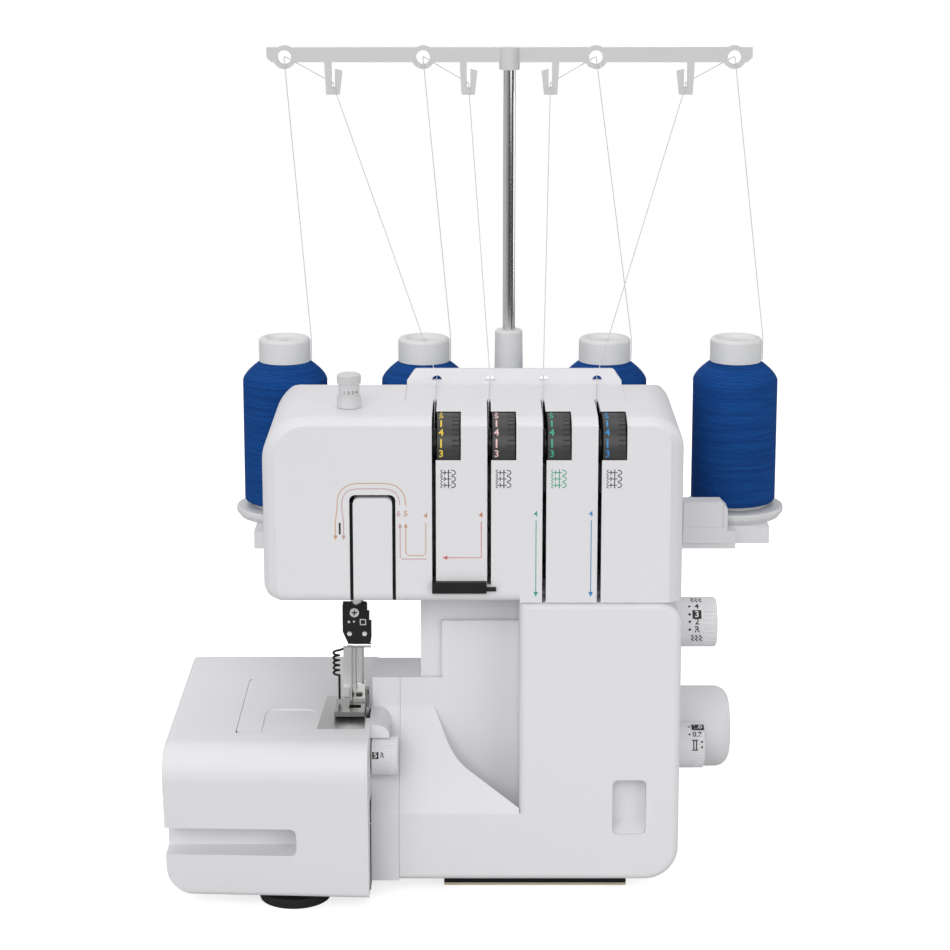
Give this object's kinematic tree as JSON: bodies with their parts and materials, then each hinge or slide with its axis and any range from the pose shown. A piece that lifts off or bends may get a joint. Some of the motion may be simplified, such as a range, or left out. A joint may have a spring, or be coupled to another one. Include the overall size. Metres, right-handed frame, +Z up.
{
  "type": "serger overlock machine",
  "caption": "Home overlock sewing machine with thread cones on a rear stand, a telescopic thread guide, tension dials, a swing-down looper cover and a slide-off extension table.",
  "frame": {"origin": "middle of the overall box, on the floor under the feet", "axes": "+X to the sewer's right, +Y to the back, +Z up"},
  "size_m": [0.3766, 0.2282, 0.4902],
  "materials": {
    "white_plastic": "gloss",
    "cone_plastic": "satin",
    "black_plastic": "satin",
    "dial_plastic": "satin",
    "bright_steel": "polished",
    "plain_steel": "ground",
    "cast_metal": "as cast",
    "grey_metal": "satin",
    "foot_rubber": "matt",
    "gold_metal": "satin",
    "blue_thread": "sheen"
  },
  "bodies": {
    "body": {"front_casing": "white_plastic", "rear_casing": "white_plastic", "takeup_cover": "white_plastic", "top_thread_guide": "white_plastic", "thread_guide_box": "black_plastic", "side_fairing": "white_plastic", "free_arm": "white_plastic", "needle_plate": "bright_steel", "bed_supports": "plain_steel", "bushes": "gold_metal", "lower_knife": "plain_steel", "pivot_pins": "plain_steel", "tension_units": "plain_steel", "motor": "grey_metal", "drive_belt": "foot_rubber", "frame_casting": "cast_metal", "base_plate": "grey_metal", "rubber_feet": "foot_rubber", "front_rest": "black_plastic", "front_rest_sole": "gold_metal", "power_inlet": "black_plastic", "spool_stand": "white_plastic", "spool_seats": "cone_plastic", "tree_socket": "white_plastic", "threads": "blue_thread"},
    "cover_rod": {"cover_hinge_rod": "bright_steel"},
    "cover": {"front_cover": "white_plastic"},
    "table": {"extension_table": "white_plastic"},
    "needle": {"needle_bar": "bright_steel", "needle_clamp": "black_plastic", "clamp_screws": "bright_steel"},
    "presser": {"presser_bar": "bright_steel"},
    "foot": {"presser_foot": "bright_steel"},
    "lever": {"presser_lever": "white_plastic"},
    "feed": {"feed_dogs": "plain_steel"},
    "knife": {"upper_knife": "plain_steel"},
    "looper_upper": {"upper_looper": "plain_steel"},
    "looper_lower": {"lower_looper": "plain_steel"},
    "pressure": {"pressure_knob": "white_plastic"},
    "stitch_length": {"stitch_length_dial": "white_plastic"},
    "differential": {"differential_dial": "white_plastic"},
    "cutting_width": {"cutting_width_knob": "white_plastic"},
    "switch": {"power_switch": "black_plastic"},
    "wheel": {"handwheel": "white_plastic", "main_shaft": "plain_steel"},
    "motor_rotor": {"motor_pulley": "plain_steel"},
    "tree": {"tree_pole": "bright_steel", "guide_bar": "white_plastic"},
    "dial_1": {"tension_dial_1": "dial_plastic"},
    "cone_1": {"cone_1_core": "cone_plastic", "cone_1_thread": "blue_thread"},
    "dial_2": {"tension_dial_2": "dial_plastic"},
    "cone_2": {"cone_2_core": "cone_plastic", "cone_2_thread": "blue_thread"},
    "dial_3": {"tension_dial_3": "dial_plastic"},
    "cone_3": {"cone_3_core": "cone_plastic", "cone_3_thread": "blue_thread"},
    "dial_4": {"tension_dial_4": "dial_plastic"},
    "cone_4": {"cone_4_core": "cone_plastic", "cone_4_thread": "blue_thread"}
  },
  "joints": [
    {"name": "tree_slide", "type": "slide", "parent": "body", "child": "tree", "axis": [0, 0, 1], "range_m": [-0.095, 0], "deforming": ["threads"]},
    {"name": "cover_slide", "type": "slide", "parent": "body", "child": "cover_rod", "axis": [1, 0, 0], "range_m": [0, 0.012]},
    {"name": "cover_swing", "type": "hinge", "parent": "cover_rod", "child": "cover", "pos_m": [-0.0085, -0.06684, 0.014], "axis": [1, 0, 0], "range_deg": [0, 90]},
    {"name": "table_slide", "type": "slide", "parent": "body", "child": "table", "axis": [-1, 0, 0], "range_m": [0, 0.085]},
    {"name": "needle_stroke", "type": "slide", "parent": "body", "child": "needle", "axis": [0, 0, 1], "range_m": [-0.02, 0]},
    {"name": "lever_lift", "type": "hinge", "parent": "body", "child": "lever", "pos_m": [-0.0847, 0.02816, 0.203], "axis": [1, 0, 0], "range_deg": [0, 35]},
    {"name": "presser_lift", "type": "slide", "parent": "body", "child": "presser", "axis": [0, 0, 1], "range_m": [0, 0.0055]},
    {"name": "foot_tilt", "type": "hinge", "parent": "presser", "child": "foot", "pos_m": [-0.0781, -0.03384, 0.1122], "axis": [1, 0, 0], "range_deg": [-6, 0]},
    {"name": "feed_stroke", "type": "slide", "parent": "body", "child": "feed", "axis": [0, 1, 0], "range_m": [-0.002, 0.002]},
    {"name": "knife_swing", "type": "hinge", "parent": "body", "child": "knife", "pos_m": [-0.07, 0.00316, 0.0835], "axis": [1, 0, 0], "range_deg": [0, 4]},
    {"name": "upper_looper_swing", "type": "hinge", "parent": "body", "child": "looper_upper", "pos_m": [-0.1285, -0.04684, 0.071], "axis": [0, 1, 0], "range_deg": [0, 12]},
    {"name": "lower_looper_swing", "type": "hinge", "parent": "body", "child": "looper_lower", "pos_m": [-0.109, -0.04684, 0.071], "axis": [0, 1, 0], "range_deg": [-12, 0]},
    {"name": "pressure_turn", "type": "hinge", "parent": "body", "child": "pressure", "pos_m": [-0.082, -0.04184, 0.29], "axis": [0, 0, 1], "range_deg": [-180, 180]},
    {"name": "stitch_length_turn", "type": "hinge", "parent": "body", "child": "stitch_length", "pos_m": [0.112, -0.01284, 0.15], "axis": [1, 0, 0], "range_deg": [-90, 60]},
    {"name": "differential_turn", "type": "hinge", "parent": "body", "child": "differential", "pos_m": [0.112, -0.01784, 0.073], "axis": [1, 0, 0], "range_deg": [-70, 110]},
    {"name": "cutting_width_turn", "type": "hinge", "parent": "body", "child": "cutting_width", "pos_m": [-0.07, -0.06684, 0.0845], "axis": [1, 0, 0], "range_deg": [-120, 120]},
    {"name": "switch_rock", "type": "hinge", "parent": "body", "child": "switch", "pos_m": [0.1095, -0.01094, 0.0415], "axis": [0, 1, 0], "range_deg": [-8, 8]},
    {"name": "wheel_turn", "type": "hinge", "parent": "body", "child": "wheel", "pos_m": [0.112, 0.02216, 0.071], "axis": [1, 0, 0], "continuous": true},
    {"name": "motor_turn", "type": "hinge", "parent": "body", "child": "motor_rotor", "pos_m": [0.088, 0.02216, 0.2], "axis": [1, 0, 0], "continuous": true},
    {"name": "tension_1_turn", "type": "hinge", "parent": "body", "child": "dial_1", "pos_m": [-0.03215, -0.05584, 0.271], "axis": [1, 0, 0], "range_deg": [-120, 150]},
    {"name": "tension_2_turn", "type": "hinge", "parent": "body", "child": "dial_2", "pos_m": [-0.00035, -0.05584, 0.271], "axis": [1, 0, 0], "range_deg": [-120, 150]},
    {"name": "tension_3_turn", "type": "hinge", "parent": "body", "child": "dial_3", "pos_m": [0.03145, -0.05584, 0.271], "axis": [1, 0, 0], "range_deg": [-120, 150]},
    {"name": "tension_4_turn", "type": "hinge", "parent": "body", "child": "dial_4", "pos_m": [0.06325, -0.05584, 0.271], "axis": [1, 0, 0], "range_deg": [-120, 150]},
    {"name": "cone_1_spin", "type": "hinge", "parent": "body", "child": "cone_1", "pos_m": [-0.1287, 0.08216, 0.1996], "axis": [0, 0, 1], "continuous": true},
    {"name": "cone_2_spin", "type": "hinge", "parent": "body", "child": "cone_2", "pos_m": [-0.0407, 0.08216, 0.1996], "axis": [0, 0, 1], "continuous": true},
    {"name": "cone_3_spin", "type": "hinge", "parent": "body", "child": "cone_3", "pos_m": [0.0733, 0.08216, 0.1996], "axis": [0, 0, 1], "continuous": true},
    {"name": "cone_4_spin", "type": "hinge", "parent": "body", "child": "cone_4", "pos_m": [0.1563, 0.08216, 0.1996], "axis": [0, 0, 1], "continuous": true}
  ],
  "couplings": [
    {"joint": "lever_lift", "follows": "presser_lift", "rad_per_m": 111.06},
    {"joint": "motor_turn", "follows": "wheel_turn", "ratio": 3},
    {"joint": "knife_swing", "follows": "needle_stroke", "rad_per_m": -3.4897},
    {"joint": "upper_looper_swing", "follows": "needle_stroke", "rad_per_m": -10.471},
    {"joint": "lower_looper_swing", "follows": "needle_stroke", "rad_per_m": 10.471}
  ]
}
